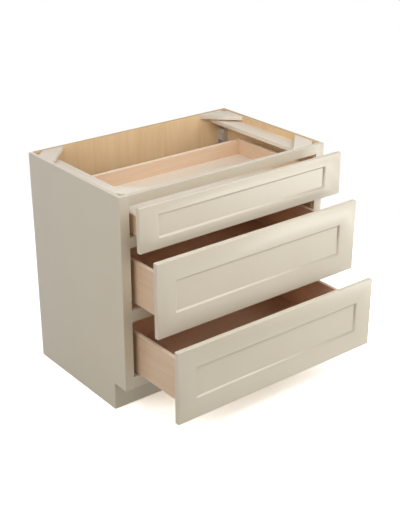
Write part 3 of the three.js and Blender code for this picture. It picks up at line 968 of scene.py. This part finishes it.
def looked_at(tree):
    """1 for a ray of sight, direct, mirrored or through glass, and 0 for one that carries light."""
    path = add_node(tree, "ShaderNodeLightPath")
    seen = path.outputs["Is Camera Ray"]
    for other in ("Is Glossy Ray", "Is Transmission Ray"):
        seen = add_node(tree, "ShaderNodeMath", {"operation": "MAXIMUM"}, {
            0: seen, 1: path.outputs[other]}).outputs[0]
    return seen


def white_studio_world():
    world = bpy.data.worlds.new("white_studio")
    bpy.context.scene.world = world
    world.use_nodes = True
    tree = world.node_tree
    tree.nodes.clear()
    seen = looked_at(tree)
    dome, white = (add_node(tree, "ShaderNodeBackground", None, {
        "Color": linear("#FFFFFF"), "Strength": strength}) for strength in (AMBIENT, 1.0))
    mixed = add_node(tree, "ShaderNodeMixShader", None, {
        0: seen, 1: dome.outputs[0], 2: white.outputs[0]})
    add_node(tree, "ShaderNodeOutputWorld", None, {"Surface": mixed.outputs[0]})


white_studio_world()
print("world done")

# %% [markdown]
# A pale floor runs out to that white. Its own shade is raised for the camera alone, so it reads as
# white and still keeps the shadow. Mirrored in paint or steel it is plain white, no brighter than
# the background, and light finds an ordinary pale card there.

# %% Floor
FLOOR_SHADE = "#CDC7BB"  # pale card, as the light finds it
FLOOR_SIZE = 30.0
FLOOR_DROP = 0.5 * MM  # below the cabinet's feet, so the two never share a plane
SHADOW_LIFT = 2.7  # how much brighter than white paper the floor is for the eye
SHADOW_REACH = (1.0, 1.8)  # metres from the foot of the cabinet's back, where its shadow fades out


def pale_floor():
    """Pale card to the light, lifted white with the shadow to the camera, plain white in a mirror."""
    material, tree = new_material("pale_studio_floor")
    real = add_node(tree, "ShaderNodeBsdfDiffuse", None, {"Color": linear(FLOOR_SHADE)})
    lifted = add_node(tree, "ShaderNodeBsdfDiffuse", None, {"Color": [SHADOW_LIFT] * 3 + [1.0]})
    white = add_node(tree, "ShaderNodeEmission", None, {"Color": linear("#FFFFFF"), "Strength": 1.0})
    place = add_node(tree, "ShaderNodeTexCoord").outputs["Object"]
    distance = add_node(tree, "ShaderNodeVectorMath", {"operation": "LENGTH"}, {
        0: place}).outputs["Value"]
    fade = add_node(tree, "ShaderNodeMapRange", {"interpolation_type": "SMOOTHSTEP"}, {
        "Value": distance, "From Min": SHADOW_REACH[0], "From Max": SHADOW_REACH[1]})
    directly = add_node(tree, "ShaderNodeLightPath").outputs["Is Camera Ray"]
    mirrored = add_node(tree, "ShaderNodeMath", {"operation": "SUBTRACT"}, {
        0: 1.0, 1: directly}).outputs[0]
    plain = add_node(tree, "ShaderNodeMath", {"operation": "MAXIMUM"}, {
        0: fade.outputs[0], 1: mirrored}).outputs[0]
    shown = add_node(tree, "ShaderNodeMixShader", None, {
        0: plain, 1: lifted.outputs[0], 2: white.outputs[0]})
    mixed = add_node(tree, "ShaderNodeMixShader", None, {
        0: looked_at(tree), 1: real.outputs[0], 2: shown.outputs[0]})
    add_node(tree, "ShaderNodeOutputMaterial", None, {"Surface": mixed.outputs[0]})
    mesh = bpy.data.meshes.new("studio_floor")
    half = FLOOR_SIZE / 2
    corners = [(-half, -half, 0), (half, -half, 0), (half, half, 0), (-half, half, 0)]
    mesh.from_pydata(corners, [], [(0, 1, 2, 3)])
    mesh.materials.append(material)
    floor = bpy.data.objects.new("studio_floor", mesh)
    floor.location.z = -FLOOR_DROP
    bpy.context.scene.collection.objects.link(floor)


pale_floor()
print("floor done")

# %% [markdown]
# Seven soft lamps and the white world light the cabinet from all round, so shadows stay open. The one
# overhead and the two over the front light the top edges. The one on the left is for the side. The
# one on the right, and a low strip that the fronts mirror, brighten their right-hand ends. A wide,
# weak one behind shows the back when the cabinet is turned round.

# %% Lamps
CABINET_MIDDLE = (0, -0.4, 0.45)
WHITE, COOL_WHITE = (1, 1, 1), (0.96, 0.985, 1.0)


def soft_lamp(name, place, aim, size, power, colour=WHITE):
    """A rectangular lamp. Places and sizes are in metres, and its power is in watts."""
    data = bpy.data.lights.new(name, "AREA")
    data.shape = "RECTANGLE"
    data.size, data.size_y = size
    data.energy = power
    data.color = colour
    lamp = bpy.data.objects.new(name, data)
    lamp.location = place
    lamp.rotation_euler = (Vector(aim) - Vector(place)).to_track_quat("-Z", "Y").to_euler()
    bpy.context.scene.collection.objects.link(lamp)


soft_lamp("overhead_softbox", (0.3, -0.8, 3.4), CABINET_MIDDLE, (3.0, 3.0), 18)
soft_lamp("upper_front_softbox", (-0.2, -1.9, 2.2), CABINET_MIDDLE, (1.6, 0.8), 8.3)
soft_lamp("near_front_strip", (0.0, -1.75, 1.65), (0.1, -0.6, 0.7), (1.6, 0.6), 4.2)
soft_lamp("left_softbox", (-3.2, -1.2, 2.4), CABINET_MIDDLE, (2.5, 2.5), 40)
soft_lamp("right_softbox", (2.4, -2.6, 1.6), (0.3, -0.6, 0.5), (1.8, 1.8), 30, COOL_WHITE)
soft_lamp("low_strip_light", (1.6, -2.1, 0.2), (0.4, -0.75, 0.75), (0.9, 0.3), 6.9, COOL_WHITE)
soft_lamp("rear_softbox", (0.2, 3.2, 1.1), CABINET_MIDDLE, (3.2, 2.0), 13)
print("lamps done")

# %% [markdown]
# Standard view keeps colours as they were written.

# %% View transform
bpy.context.scene.view_settings.view_transform = "Standard"
